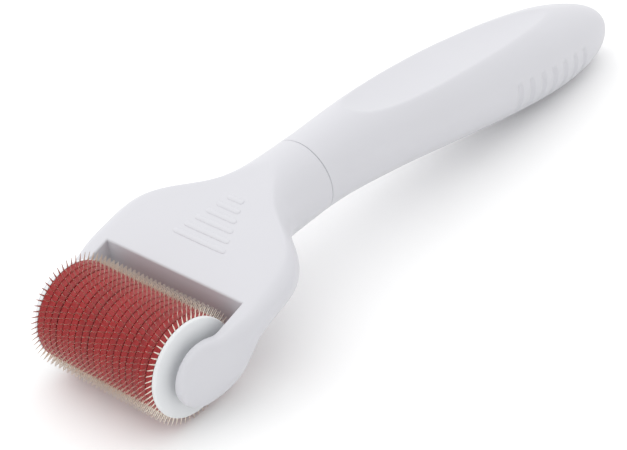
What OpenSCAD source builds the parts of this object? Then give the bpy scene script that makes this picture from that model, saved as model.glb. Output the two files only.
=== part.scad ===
// Body derma roller: a wide fork head carries a drum of stacked needle plates
// on a fixed steel axle, and the head plugs into a hollow two-shell handle.
// It lies as it does on a table: +Z up, +Y from the drum towards the handle's tail,
// X along the drum's axle, and the origin on the table under the middle of the part.

/* [Drum] */
// Radius of the red drum, without its needles
drum_r = 12; // [9:0.5:15]
// Length of the drum over both end caps
drum_len = 39; // [24:0.5:50]
// Number of needle plates in the stack
plate_count = 19; // [8:1:22]
// Thickness of one steel needle plate
plate_t = 0.2; // [0.1:0.05:0.4]
// Number of needles round one plate
needle_count = 60; // [24:4:72]
// How far a needle stands out of the drum
needle_len = 2; // [0.5:0.1:2.2]
// Width of a needle at its root
needle_w = 0.5; // [0.3:0.05:0.7]
// Thickness of an end cap's flange
cap_t = 0.9; // [0.6:0.1:1.5]
// Radius of the core tube that carries the stack
core_r = 6; // [5:0.25:7.5]
// Radius of the steel axle
axle_r = 1.5; // [1:0.1:2.5]

/* [Head] */
// Gap between an end cap and the arm beside it
arm_gap = 2.2; // [1.2:0.1:3]
// Thickness of an arm at the back of the slot
arm_t = 6; // [5.4:0.2:9]
// Radius of the round boss at an arm's tip
boss_r = 8; // [6:0.2:9]
// Distance from the drum's axis to the seam with the handle
head_len = 59.3; // [52:0.1:70]
// Height of the flat deck above the drum's axis, at the slot
deck_rise = 9.5; // [8.5:0.1:11]
// Slope of the deck, in degrees
deck_slope = 16.2; // [13:0.1:18]
// Thickness of the head behind the drum
web_t = 9.4; // [7:0.1:10]
// Radius of the neck at the seam
neck_r = 9.75; // [9.4:0.05:12]
// Height of the neck's axis above the drum's axis
neck_rise = 9.7; // [7:0.1:12]

/* [Spigot] */
// Width of the spigot that plugs into the handle
spigot_w = 10.5; // [8:0.1:10.8]
// Height of the spigot
spigot_h = 8; // [6:0.1:8]
// Length of the spigot past the seam
spigot_len = 16; // [10:0.5:22]
// Wall of the hollow spigot
spigot_wall = 1.6; // [1.2:0.1:2]

/* [Handle] */
// Length of the handle from the seam to its tail
handle_len = 118.2; // [95:0.2:145]
// Greatest width of the handle
belly_w = 27.4; // [22:0.2:34]
// Greatest height of the handle
belly_h = 24; // [21:0.2:30]
// How far the handle's centre line drops from the seam to the tail
tail_drop = 15.8; // [8:0.2:17]
// Wall of the two handle shells
shell_wall = 2; // [1.5:0.1:2.2]
// Half width of the leaf-shaped thumb facet
leaf_half_w = 8; // [5:0.1:9]
// Number of grip grooves on each side of the handle
groove_count = 7; // [3:1:9]
// Distance from one grip groove to the next
groove_pitch = 4.9; // [3.5:0.1:5.5]

/* [Hidden] */
// Clearances
axle_fit = 0.05;
pocket_fit = 0.02;
bore_fit = 0.05;
cap_run = 0.3;
needle_run = 1;
spigot_fit = 0.15;
insert_fit = 0.15;
seam_gap = 0.1;
eps = 0.01;

// Facets
loft_steps = 44;
shell_steps = 40;
insert_steps = 6;
side_steps = 7;
$fn = 96;

// Drum stack
tip_r = drum_r + needle_len;
cap_face = drum_len / 2;
stack_half = cap_face - cap_t;
pitch = (drum_len - 2 * cap_t - plate_t) / (plate_count - 1);
spacer_t = pitch - plate_t;
root_sink = 0.4;
root_r = drum_r - root_sink;
key_w = 2;
key_h = 0.8;
key_root = 1;
rim_bevel = 0.4 * cap_t;
hub_r = 4;
hub_h = arm_gap - cap_run;
plug_r = 4.5;
plug_len = 3;

// Head
arm_taper = 2.2;
slot_half = cap_face + arm_gap;
head_half = slot_half + arm_t;
slot_back = tip_r + needle_run;
pocket_skin = 1.4;
pocket_len = arm_t - arm_taper - pocket_skin;
axle_play = 0.2;
axle_half = slot_half + pocket_len - axle_play;
shoulder_y = slot_back + 21.1;
shoulder_spread = 3.25;
edge_r = 7;
under_r = 6.2;
tip_round = 1.8;
tip_edge = 2.4;
deck_lip = 0.55;
bar_rows = 6;
bar_pitch = 2.6;
bar_w = 1.1;
bar_h = 0.45;
bar_long = 17;
bar_short = 5;
bars_from = 8.7;
bar_sink = 1;
spigot_root = 8;
spigot_hollow = 12;

// Handle
mouth_y = head_len + seam_gap;
tail_y = head_len + handle_len;
belly_y = head_len + 0.555 * handle_len;
leaf_to = head_len + 0.813 * handle_len;
groove_from = head_len + 0.57 * handle_len;
groove_r = 1.2;
groove_deep = 0.7;
groove_h = 6.6;
groove_low = 1;
leaf_from = head_len + spigot_len + 2.1;
shell_step = handle_len * sin(90 / shell_steps);
insert_from = mouth_y + 0.4;
insert_to = leaf_from - 1.1 * shell_step;

// The part's place: its lowest needle tips on Z = 0, its middle over the origin
mid_y = (tail_y - tip_r) / 2;
lift = [0, -mid_y, tip_r];

function two(i) = str(i < 10 ? "0" : "", i);
function plate_name(i) = str("needle_plate_", two(i));
function spacer_name(i) = str("spacer_disc_", two(i));

// ---- Curves -------------------------------------------------------------

function clamp01(t) = min(1, max(0, t));
function mix(a, b, t) = a + (b - a) * t;
function ease(t) = let (c = clamp01(t)) c * c * (3 - 2 * c);
function root(v) = sqrt(max(0, v));
function circle_z(r, y) = root(r * r - y * y);

// A smooth curve through points [[position, value], ...], flat at both ends
function span_at(p, t, i = 0) = i >= len(p) - 2 || t < p[i + 1][0] ? i : span_at(p, t, i + 1);
function rise_at(p, i) = i == 0 || i == len(p) - 1
    ? 0
    : (p[i + 1][1] - p[i - 1][1]) / (p[i + 1][0] - p[i - 1][0]);
function curve(p, t) =
    let (i = span_at(p, t), h = p[i + 1][0] - p[i][0], s = clamp01((t - p[i][0]) / h))
    p[i][1] * (2 * pow(s, 3) - 3 * s * s + 1)
    + rise_at(p, i) * h * (pow(s, 3) - 2 * s * s + s)
    + p[i + 1][1] * (3 * s * s - 2 * pow(s, 3))
    + rise_at(p, i + 1) * h * (pow(s, 3) - s * s);

// ---- Head outline, measured from the drum's axis -------------------------

// 1 on the wide slab behind the drum, 0 on the round neck
function slab(y) = 1 / (1 + exp((y - shoulder_y) / shoulder_spread));
function head_a(y) = mix(neck_r, head_half, slab(y)) - arm_taper * (1 - ease((y + 2) / slot_back))
    - (y < 0 ? tip_round * (1 - circle_z(1, y / boss_r)) : 0);
function deck_z(y) = deck_rise + tan(deck_slope) * (y - slot_back);
function arm_top(y) = y <= 0
    ? circle_z(boss_r, y)
    : pow(pow(circle_z(boss_r, y), 8) + pow(max(0, deck_z(y)) * ease(y / 2), 8), 1 / 8);
function full_top(y) = mix(neck_rise + neck_r, arm_top(y) + deck_lip * ease(y / slot_back), slab(y));
function head_top(y) = min(arm_top(y), full_top(y));
under_line = [
    [0, -boss_r],
    [slot_back * 0.3, -boss_r * 0.95],
    [slot_back * 0.6, -boss_r * 0.72],
    [slot_back * 0.8, -boss_r * 0.33],
    [slot_back, deck_rise - web_t],
    [slot_back + 8, deck_rise - web_t + 2.2],
    [shoulder_y - 3, deck_rise - web_t + 2.2],
    [shoulder_y + 12, neck_rise - neck_r],
    [head_len, neck_rise - neck_r]
];
function head_under(y) = y < 0 ? -circle_z(boss_r, y) : curve(under_line, y);
function head_mid(y) = mix(
    neck_rise,
    mix(head_under(y), head_top(y), mix(0.5, 0.66, ease(y / slot_back))),
    slab(y)
);

// How far along the arm the crisp edges of its tip have grown into the deck's round ones
function soft_at(y) = ease((y + 2) / (slot_back + 10));

// One cross-section of the head, right side first: underside, flank, deck
function head_half_ring(y) =
    let (
        s = slab(y), a = head_a(y), zm = head_mid(y), zt = head_top(y), zq = full_top(y),
        zb = head_under(y), rx = mix(a, mix(tip_edge, edge_r, soft_at(y)), s),
        bx = mix(a, mix(tip_edge, under_r, soft_at(y)), s),
        crease = asin(min(1, (zt - zm) / (zq - zm)))
    )
    concat(
        [for (k = [0:side_steps]) let (f = 90 * (1 - k / side_steps) * 0.98)
            [a - bx + bx * cos(f), zm - (zm - zb) * sin(f)]],
        [for (k = [1:side_steps]) let (f = crease * k / side_steps * 0.98)
            [a - rx + rx * cos(f), zm + (zq - zm) * sin(f)]]
    );
function ring3(half, y) = concat(
    [for (p = half) [p[0], y, p[1]]],
    [for (k = [len(half) - 1:-1:0]) [-half[k][0], y, half[k][1]]]
);

// Skin between closed rings, with flat ends
module loft(rings) {
    n = len(rings[0]);
    m = len(rings);
    polyhedron(
        points = [for (r = rings) each r],
        faces = concat(
            [[for (j = [n - 1:-1:0]) j]],
            [for (i = [0:m - 2]) for (j = [0:n - 1]) let (k = (j + 1) % n)
                each [[i * n + j, i * n + k, (i + 1) * n + j], [i * n + k, (i + 1) * n + k, (i + 1) * n + j]]],
            [[for (j = [0:n - 1]) (m - 1) * n + j]]
        )
    );
}

// Stations along the head, closer together on the round tips
function head_station(i) = let (t = i / loft_steps)
    t < 0.25 ? -boss_r * cos(t * 360) * 0.999 : mix(0, head_len, (t - 0.25) / 0.75);

module head_skin() {
    loft([for (i = [0:loft_steps]) let (y = head_station(i)) ring3(head_half_ring(y), y)]);
}

module grip_bars() {
    for (k = [0:bar_rows - 1])
        let (y = slot_back + bars_from + k * bar_pitch, long = mix(bar_long, bar_short, k / (bar_rows - 1)))
            translate([-long / 2, y, deck_z(y) - bar_sink])
                rotate([deck_slope, 0, 0])
                    cube([long, bar_w, bar_sink + bar_h]);
}

module head_fork() {
    color("#E6E6EA")
    translate(lift)
    difference() {
        union() {
            head_skin();
            grip_bars();
            translate([-spigot_w / 2, head_len - spigot_root, neck_rise - spigot_h / 2])
                cube([spigot_w, spigot_root + spigot_len, spigot_h]);
        }
        translate([-slot_half, -2 * boss_r, -2 * boss_r])
            cube([2 * slot_half, 2 * boss_r + slot_back, 6 * boss_r]);
        for (side = [-1, 1])
            translate([side * (slot_half + pocket_len / 2), 0, 0])
                rotate([0, 90, 0])
                    cylinder(r = axle_r + pocket_fit, h = pocket_len + 2 * eps, center = true);
        translate([0, head_len - spigot_hollow, neck_rise])
            rotate([-90, 0, 0])
                linear_extrude(spigot_hollow + spigot_len + 1)
                    square([spigot_w - 2 * spigot_wall, spigot_h - 2 * spigot_wall], center = true);
    }
}

// ---- Drum ----------------------------------------------------------------

module along_x(x0) {
    translate(lift)
        translate([x0, 0, 0])
            rotate([90, 0, 90])
                children();
}

module keyways(r, w, h) {
    for (turn = [0, 180])
        rotate(turn)
            translate([r - key_root, -w / 2])
                square([key_root + h, w]);
}

module bored_disc() {
    difference() {
        children();
        circle(r = core_r + bore_fit);
        keyways(core_r, key_w + 2 * bore_fit, key_h + bore_fit);
    }
}

module axle_pin() {
    color("#B9BBC0")
    along_x(-axle_half)
        cylinder(r = axle_r, h = 2 * axle_half);
}

module drum_core() {
    color("#DADADE")
    along_x(-stack_half)
        difference() {
            linear_extrude(2 * stack_half)
                difference() {
                    union() {
                        circle(r = core_r);
                        keyways(core_r, key_w, key_h);
                    }
                    circle(r = axle_r + axle_fit);
                }
            for (z = [-eps, 2 * stack_half - plug_len - bore_fit])
                translate([0, 0, z])
                    cylinder(r = plug_r + bore_fit, h = plug_len + bore_fit + eps);
        }
}

module end_cap() {
    rotate_extrude()
        polygon([
            [axle_r + axle_fit, -plug_len], [plug_r, -plug_len], [plug_r, 0], [drum_r, 0],
            [drum_r, cap_t - rim_bevel], [drum_r - rim_bevel, cap_t], [hub_r, cap_t],
            [hub_r, cap_t + hub_h], [axle_r + axle_fit, cap_t + hub_h]
        ]);
}

module end_cap_right() {
    color("#ECECEE") along_x(stack_half) end_cap();
}

module end_cap_left() {
    color("#ECECEE") along_x(-stack_half) rotate([180, 0, 0]) end_cap();
}

// Plates are turned half a needle step from one to the next
module needle_plate(i) {
    step = 360 / needle_count;
    half = asin(needle_w / 2 / root_r);
    turn = i % 2 == 0 ? step / 2 : 0;
    color("#B7B7BB")
    along_x(-stack_half + (i - 1) * pitch)
        linear_extrude(plate_t)
            bored_disc()
                rotate(turn)
                    polygon([for (k = [0:needle_count - 1]) each [
                        root_r * [cos(k * step - half), sin(k * step - half)],
                        tip_r * [cos(k * step), sin(k * step)],
                        root_r * [cos(k * step + half), sin(k * step + half)]
                    ]]);
}

module spacer_disc(i) {
    color("#B2323B")
    along_x(-stack_half + plate_t + (i - 1) * pitch)
        linear_extrude(spacer_t)
            bored_disc()
                circle(r = drum_r);
}

// ---- Handle ---------------------------------------------------------------

swell_line = [[0, 0], [0.12, 0.06], [0.4, 0.46], [0.7, 0.82], [1, 1]];
bend_line = [[0, 0], [0.2, 0.075], [0.4, 0.275], [0.6, 0.54], [0.8, 0.8], [1, 0.99]];
function swell(y) = curve(swell_line, (y - head_len) / (belly_y - head_len));
function taper(y) = root(1 - pow(clamp01((y - belly_y) / (tail_y - belly_y)), 2.8));
function handle_r(y, belly) = mix(neck_r, belly / 2, swell(y)) * taper(y);
function handle_z(y) = neck_rise - tail_drop * curve(bend_line, (y - head_len) / handle_len);
function leaf_x(y) = let (w = pow(clamp01((y - leaf_from) / (leaf_to - leaf_from)), 0.7))
    max(0.3, leaf_half_w * root(4 * w * (1 - w)));

// One side of a shell's section: +x edge, flank, crease, facet, and back down to the -x edge
function shell_arc(y, in, side) =
    let (
        ra = handle_r(y, belly_w), rb = handle_r(y, belly_h), a = max(0.02, ra - in),
        b = max(0.02, rb - in), lx = min(leaf_x(y), 0.9 * ra),
        flat = side > 0 ? max(0.02, rb * root(1 - pow(lx / max(ra, eps), 2)) - in) : b,
        cr = side > 0 ? acos(min(0.95, lx / max(ra, eps))) : 90,
        right = [for (k = [0:side_steps]) let (f = cr * k / side_steps * (side > 0 ? 1 : 0.98))
            [a * cos(f), min(b * sin(f), flat)]]
    )
    concat(
        [for (p = right) [p[0], y, handle_z(y) + side * p[1]]],
        [for (k = [len(right) - 1:-1:0]) [-right[k][0], y, handle_z(y) + side * right[k][1]]]
    );

function outer_station(i) = let (t = i / shell_steps) mouth_y + (tail_y - mouth_y) * sin(90 * t) * 0.9999;
function inner_station(i) = let (t = i / shell_steps)
    mouth_y + (tail_y - mouth_y - 2 * shell_wall) * sin(90 * t);

// A half shell: outer skin, inner skin, and the flat rims that join them
module half_shell(side) {
    outer = [for (i = [0:shell_steps]) shell_arc(outer_station(i), 0, side)];
    inner = [for (i = [0:shell_steps]) shell_arc(inner_station(i), shell_wall, side)];
    n = len(outer[0]);
    m = shell_steps + 1;
    off = n * m;
    skin = concat(
        [for (i = [0:m - 2]) for (j = [0:n - 2])
            each [[i * n + j, i * n + j + 1, (i + 1) * n + j], [i * n + j + 1, (i + 1) * n + j + 1, (i + 1) * n + j]]],
        [for (i = [0:m - 2]) for (j = [0:n - 2]) let (a = off + i * n + j)
            each [[a + 1, a, a + n], [a + n + 1, a + 1, a + n]]],
        [for (i = [0:m - 2]) each [
            [off + i * n, i * n, off + (i + 1) * n], [i * n, (i + 1) * n, off + (i + 1) * n],
            [i * n + n - 1, off + i * n + n - 1, off + (i + 2) * n - 1],
            [(i + 2) * n - 1, i * n + n - 1, off + (i + 2) * n - 1]
        ]],
        [for (j = [0:n - 2]) each [[j + 1, j, off + j], [j + 1, off + j, off + j + 1]]],
        [[for (j = [0:n - 1]) (m - 1) * n + j]],
        [[for (j = [n - 1:-1:0]) off + (m - 1) * n + j]],
        [[(m - 1) * n, m * n - 1, off + m * n - 1], [(m - 1) * n, off + m * n - 1, off + (m - 1) * n]]
    );
    polyhedron(
        points = concat([for (r = outer) each r], [for (r = inner) each r]),
        faces = side > 0 ? skin : [for (f = skin) [for (k = [len(f) - 1:-1:0]) f[k]]]
    );
}

module grip_grooves() {
    for (side = [-1, 1], k = [0:groove_count - 1])
        let (y = groove_from + k * groove_pitch)
            translate([side * (handle_r(y, belly_w) + groove_r - groove_deep), y, handle_z(y) - groove_low])
                cylinder(r = groove_r, h = groove_h, center = true, $fn = 24);
}

module handle_shell(side) {
    color("#E4E4E8")
    translate(lift)
        difference() {
            half_shell(side);
            grip_grooves();
        }
}

module handle_upper_shell() {
    handle_shell(1);
}

module handle_lower_shell() {
    handle_shell(-1);
}

// The tube inside the handle's mouth that the head's spigot plugs into; it follows the shells' inner skin
module socket_insert() {
    insert_in = shell_wall + insert_fit;
    rings = [for (i = [0:insert_steps])
        let (
            y = mix(insert_from, insert_to, i / insert_steps), upper = shell_arc(y, insert_in, 1),
            lower = shell_arc(y, insert_in, -1)
        )
        concat(upper, [for (k = [len(lower) - 2:-1:1]) lower[k]])];
    color("#D2D2D8")
    translate(lift)
    difference() {
        loft(rings);
        translate([-spigot_w / 2 - spigot_fit, insert_from - eps, neck_rise - spigot_h / 2 - spigot_fit])
            cube([spigot_w + 2 * spigot_fit, insert_to - insert_from + 2 * eps, spigot_h + 2 * spigot_fit]);
    }
}

// ---- Nodes ----------------------------------------------------------------

handle_upper_shell();
handle_lower_shell();
socket_insert();
head_fork();
axle_pin();
drum_core();
end_cap_left();
end_cap_right();
for (i = [1:plate_count]) needle_plate(i);
for (i = [1:plate_count - 1]) spacer_disc(i);
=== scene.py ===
"""Body derma roller: its visible pieces, finishes and studio, built round the packed frame.

Everything is in metres in the frame's own axes: +Z up off the table, +Y from the needle drum
towards the handle's tail, X along the drum's axle. Shapes are worked out from the drum's axis.
"""
import math

import bmesh
import bpy
import numpy as np
from mathutils import Matrix, Vector


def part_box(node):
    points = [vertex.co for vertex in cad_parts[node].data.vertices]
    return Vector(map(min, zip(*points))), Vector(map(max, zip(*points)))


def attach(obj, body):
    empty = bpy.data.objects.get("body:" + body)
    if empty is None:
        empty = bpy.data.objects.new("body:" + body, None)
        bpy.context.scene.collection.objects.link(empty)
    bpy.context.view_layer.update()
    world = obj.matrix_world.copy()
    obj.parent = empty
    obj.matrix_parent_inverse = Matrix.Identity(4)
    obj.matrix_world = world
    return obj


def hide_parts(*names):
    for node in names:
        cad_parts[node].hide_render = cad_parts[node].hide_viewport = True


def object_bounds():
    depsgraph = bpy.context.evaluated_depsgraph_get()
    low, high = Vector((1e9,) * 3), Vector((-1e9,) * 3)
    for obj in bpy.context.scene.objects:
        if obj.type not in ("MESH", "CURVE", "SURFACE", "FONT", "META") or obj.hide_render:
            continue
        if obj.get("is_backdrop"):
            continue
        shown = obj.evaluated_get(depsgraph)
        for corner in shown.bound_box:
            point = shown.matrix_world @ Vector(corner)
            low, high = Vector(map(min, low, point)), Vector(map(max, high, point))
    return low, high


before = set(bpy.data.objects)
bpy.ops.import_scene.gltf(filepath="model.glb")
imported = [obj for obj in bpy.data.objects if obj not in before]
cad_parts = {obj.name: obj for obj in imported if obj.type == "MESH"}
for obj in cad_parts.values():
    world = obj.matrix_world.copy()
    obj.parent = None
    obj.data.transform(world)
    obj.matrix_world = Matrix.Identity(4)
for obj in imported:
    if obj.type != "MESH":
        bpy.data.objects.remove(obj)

bl_info = {
    "name": "Derma Roller",
    "version": (1, 0, 0),
    "blender": (4, 5, 0),
    "location": "View3D > Sidebar > Roller",
    "description": "Builds the visible pieces and finishes of a body derma roller round its frame",
    "category": "Object",
}

MM = 0.001

# ---- What the frame gives ------------------------------------------------------------------


def middle(node):
    """The middle of a frame node's box."""
    lowest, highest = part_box(node)
    return (lowest + highest) / 2


def like(stem):
    """The frame's numbered nodes that share a name, in order."""
    return sorted(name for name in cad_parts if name.startswith(stem))


PLATES = like("needle_plate_")
SPACERS = like("spacer_disc_")
AXIS = middle("axle_pin")
DISC_R = (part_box(SPACERS[0])[1].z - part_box(SPACERS[0])[0].z) / 2
TIP_R = (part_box(PLATES[0])[1].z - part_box(PLATES[0])[0].z) / 2
PLATE_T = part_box(PLATES[0])[1].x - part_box(PLATES[0])[0].x
SPACER_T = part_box(SPACERS[0])[1].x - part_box(SPACERS[0])[0].x
STACK_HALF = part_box(PLATES[-1])[1].x
HUB_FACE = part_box("end_cap_right")[1].x
HEAD_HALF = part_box("head_fork")[1].x
BOSS_R = AXIS.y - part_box("head_fork")[0].y
MOUTH_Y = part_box("handle_upper_shell")[0].y - AXIS.y
TAIL_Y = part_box("handle_upper_shell")[1].y - AXIS.y
PLUG_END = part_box("head_fork")[1].y - AXIS.y

# ---- Sizes and finishes that a user would change -------------------------------------------


def length(name, description, value):
    """A length property whose default is given in metres."""
    return bpy.props.FloatProperty(
        name=name, description=description, default=value, min=0.0, precision=5, unit="LENGTH"
    )


def number(name, description, value):
    """A plain number property, such as a share or a strength."""
    return bpy.props.FloatProperty(name=name, description=description, default=value, precision=3)


def angle(name, description, degrees):
    """An angle property whose default is given in degrees."""
    return bpy.props.FloatProperty(
        name=name, description=description, default=math.radians(degrees), subtype="ANGLE"
    )


def hex_colour(value):
    """An sRGB hex colour as linear red, green and blue."""
    parts = [int(value[i : i + 2], 16) / 255 for i in (1, 3, 5)]
    return tuple(c / 12.92 if c <= 0.04045 else ((c + 0.055) / 1.055) ** 2.4 for c in parts)


def finish_colour(name, description, value):
    """A colour property whose default is given as an sRGB hex value."""
    return bpy.props.FloatVectorProperty(
        name=name, description=description, default=hex_colour(value), size=3, min=0.0, max=1.0,
        subtype="COLOR",
    )


class HeadSizes(bpy.types.PropertyGroup):
    """Sizes of the fork head, from the drum's axis."""

    half_width: length("Half width", "From the middle to an arm's outer face", HEAD_HALF)
    slot_half: length("Slot half width", "From the middle to an arm's inner face", HUB_FACE + 0.3 * MM)
    slot_back: length("Slot back", "From the drum's axis to the wall behind it", TIP_R + 1 * MM)
    boss_radius: length("Boss radius", "Radius of an arm's round tip", BOSS_R)
    tip_round: length("Tip rounding", "How far an arm narrows round its boss", 1.8 * MM)
    taper: length("Taper", "How far an arm narrows from the slot's back to the axle", 2.2 * MM)
    tip_edge: length("Tip edge", "Rounding of the flank at an arm's tip", 2.4 * MM)
    deck_rise: length("Deck rise", "Height of the deck over the axis at the slot", 9.5 * MM)
    deck_slope: angle("Deck slope", "Slope of the flat deck", 16.2)
    deck_lip: length("Deck lip", "How far the deck is cut below the rounded flanks", 0.55 * MM)
    web: length("Web", "Thickness of the head behind the drum", 9.4 * MM)
    shoulder: length("Shoulder", "Where the slab turns into the neck", TIP_R + 22.1 * MM)
    shoulder_spread: length("Shoulder spread", "How gradual the shoulder is", 3.25 * MM)
    edge_radius: length("Upper edge", "Rounding of the flank above the widest line", 7 * MM)
    under_radius: length("Lower edge", "Rounding of the flank under the widest line", 6.2 * MM)
    neck_radius: length("Neck radius", "Radius of the neck at the seam", 9.75 * MM)
    neck_rise: length("Neck rise", "Height of the neck's axis over the drum's", 9.7 * MM)
    slot_edge: length("Slot edge", "Rounding of the slot's edges", 0.45 * MM)
    seam_edge: length("Seam edge", "Rounding of the neck's edge at the seam", 0.22 * MM)
    crease: length("Crease", "Softness of the deck's outline", 0.35 * MM)


class RibSizes(bpy.types.PropertyGroup):
    """Sizes of the raised bars on the deck."""

    rows: bpy.props.IntProperty(name="Rows", description="Number of bars", default=6, min=1)
    pitch: length("Pitch", "From one bar to the next", 2.6 * MM)
    width: length("Width", "Width of a bar", 1.5 * MM)
    height: length("Height", "How far a bar stands proud", 0.16 * MM)
    longest: length("Longest", "Length of the bar nearest the slot", 17 * MM)
    shortest: length("Shortest", "Length of the bar nearest the neck", 5 * MM)
    start: length("Start", "From the slot to the first bar", 9.25 * MM)


class PlugSizes(bpy.types.PropertyGroup):
    """Sizes of the plug that holds the head in the handle."""

    width: length("Width", "Width of the plug", 10.5 * MM)
    height: length("Height", "Height of the plug", 8 * MM)
    wall: length("Wall", "Wall of the hollow plug", 1.6 * MM)
    edge: length("Edge", "Rounding of the plug's corners", 0.4 * MM)


class HandleSizes(bpy.types.PropertyGroup):
    """Sizes of the two handle shells, from the drum's axis."""

    belly_width: length("Belly width", "Greatest width of the handle", 27.4 * MM)
    belly_height: length("Belly height", "Greatest height of the handle", 24 * MM)
    belly_at: length("Belly at", "Where the handle is widest", MOUTH_Y + 65.5 * MM)
    tail_drop: length("Tail drop", "How far the centre line drops to the tail", 15.8 * MM)
    wall: length("Wall", "Wall of a shell", 2 * MM)
    leaf_from: length("Facet from", "Where the thumb facet starts", MOUTH_Y + 18 * MM)
    leaf_to: length("Facet to", "Where the thumb facet ends", MOUTH_Y + 96 * MM)
    leaf_half: length("Facet half width", "Half width of the thumb facet", 8 * MM)
    leaf_dish: length("Facet dish", "How hollow the thumb facet is", 0.5 * MM)
    leaf_edge: length("Facet edge", "Softness of the facet's rim", 0.22 * MM)


class GrooveSizes(bpy.types.PropertyGroup):
    """Sizes of the grip grooves in the handle's flanks."""

    count: bpy.props.IntProperty(name="Count", description="Grooves on one side", default=7, min=1)
    pitch: length("Pitch", "From one groove to the next", 4.9 * MM)
    start: length("Start", "Where the first groove is", MOUTH_Y + 67.3 * MM)
    half_width: length("Half width", "Half width of a groove", 1.25 * MM)
    depth: length("Depth", "Depth of a groove", 0.55 * MM)
    above: length("Above", "How far a groove runs above the parting line", 1.4 * MM)
    below: length("Below", "How far a groove runs below the parting line", 6.5 * MM)


class DrumSizes(bpy.types.PropertyGroup):
    """Sizes of the stacked needle drum."""

    needles: bpy.props.IntProperty(name="Needles", description="Needles on a plate", default=60, min=3)
    needle_root: length("Needle root", "Width of a needle where it leaves the plate", 0.5 * MM)
    needle_tip: length("Needle tip", "Radius of a needle's blunt end", 0.075 * MM)
    root_depth: length("Root depth", "How deep a needle starts inside the drum", 0.4 * MM)
    core_radius: length("Core radius", "Radius of the bore through plates and discs", 6.05 * MM)
    disc_edge: length("Disc edge", "Bevel of a red disc's rim", 0.1 * MM)
    thinnest: number("Thinnest disc", "Least thickness of a red disc, of its place", 0.95)
    thickest: number("Thickest disc", "Greatest thickness of a red disc, of its place", 1.09)
    seed: bpy.props.IntProperty(name="Seed", description="Which discs are thin or thick", default=7)
    cap_face: length("Cap face", "From the middle to the caps' outer face", STACK_HALF + 0.9 * MM)
    cap_edge: length("Cap edge", "Rounding of a cap's rim", 0.3 * MM)
    hub_radius: length("Hub radius", "Radius of the thrust hub on a cap", 4 * MM)
    plug_radius: length("Cap plug radius", "Radius of a cap's plug in the core", 4.5 * MM)
    plug_depth: length("Cap plug depth", "Depth of a cap's plug in the core", 3 * MM)
    bore_radius: length("Bore radius", "Radius of the bore the axle runs in", 1.55 * MM)


class Finishes(bpy.types.PropertyGroup):
    """Colours of the moulded and metal pieces."""

    white: finish_colour("White ABS", "Head and handle", "#CCCCD1")
    cap: finish_colour("Cap ABS", "End caps of the drum", "#DFE1E3")
    inner: finish_colour("Inner ABS", "Core and socket", "#C6C6CA")
    red: finish_colour("Red ABS", "Discs between the needle plates", "#960F13")
    steel: finish_colour("Needle steel", "Etched needle plates", "#EDE4D6")
    axle: finish_colour("Axle steel", "Ground axle", "#B9BBC0")
    paper: finish_colour("Studio paper", "Floor", "#FBFBFB")


class StageSizes(bpy.types.PropertyGroup):
    """The camera's place round the roller, and the strength of the light."""

    azimuth: angle("Azimuth", "Camera's bearing round the roller", 45.94)
    elevation: angle("Elevation", "Camera's height above the horizon", 35.19)
    roll: angle("Roll", "Camera's turn about its own line of sight", -7.38)
    distance: length("Distance", "From the camera to the point it looks at", 496.5 * MM)
    aim: bpy.props.FloatVectorProperty(
        name="Aim", description="Point the camera looks at, from the drum's axis", subtype="XYZ",
        unit="LENGTH", default=(22.26 * MM, 39.43 * MM, 16.21 * MM),
    )
    lens: bpy.props.FloatProperty(
        name="Lens", description="Focal length on a 36 mm sensor, in millimetres",
        default=126.3, min=1.0,
    )
    key_power: number("Key light", "Power of the key light, in watts", 1.05)
    overhead_power: number("Overhead light", "Power of the overhead light, in watts", 0.3)
    light_size: length("Light size", "Side of both square lights", 900 * MM)
    shade: number("Shade", "Brightness of the air on the dim side", 1.14)
    bright: number("Bright", "Brightness of the air on the bright side", 1.55)


# ---- Smooth shapes -------------------------------------------------------------------------


def mix(a, b, t):
    return a + (b - a) * t


def ease(t):
    c = np.clip(t, 0, 1)
    return c * c * (3 - 2 * c)


def root(v):
    return np.sqrt(np.maximum(v, 0))


def soft_min(a, b, k):
    """The smaller of two heights, rounded over a width k where they cross."""
    return 0.5 * (a + b - np.sqrt((a - b) ** 2 + k * k))


def curve(points, t):
    """A smooth curve through (place, value) points, flat at both ends."""
    xs, ys = (np.array(v, float) for v in zip(*points))
    slopes = np.zeros_like(xs)
    slopes[1:-1] = (ys[2:] - ys[:-2]) / (xs[2:] - xs[:-2])
    i = np.clip(np.searchsorted(xs, t, side="right") - 1, 0, len(xs) - 2)
    h = xs[i + 1] - xs[i]
    s = np.clip((t - xs[i]) / h, 0, 1)
    return (
        ys[i] * (2 * s**3 - 3 * s**2 + 1)
        + slopes[i] * h * (s**3 - 2 * s**2 + s)
        + ys[i + 1] * (3 * s**2 - 2 * s**3)
        + slopes[i + 1] * h * (s**3 - s**2)
    )


def quarter(radius, steps):
    """Distances from an edge that follow a quarter round, from 0 to the radius."""
    return radius * (1 - np.cos(np.linspace(0, math.pi / 2, steps + 1)))


def dip(distance, radius):
    """How far a quarter round drops at a distance from its edge."""
    d = np.clip(distance, 0, radius)
    return radius - root(radius * radius - (radius - d) ** 2)


# ---- Meshes --------------------------------------------------------------------------------


def make_object(name, points, faces, material, sharp=math.radians(32)):
    """A smooth-shaded mesh object at the origin, its points given from the drum's axis."""
    mesh = bpy.data.meshes.new(name)
    mesh.from_pydata((np.asarray(points) + np.array(AXIS)).tolist(), [], faces)
    mesh.validate()
    bpy.context.scene.collection.objects.link(bpy.data.objects.new(name, mesh))
    piece = bpy.data.objects[name]
    tidy_mesh(mesh)
    mesh.shade_smooth()
    mesh.set_sharp_from_angle(angle=sharp)
    mesh.materials.append(material)
    return piece


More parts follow.
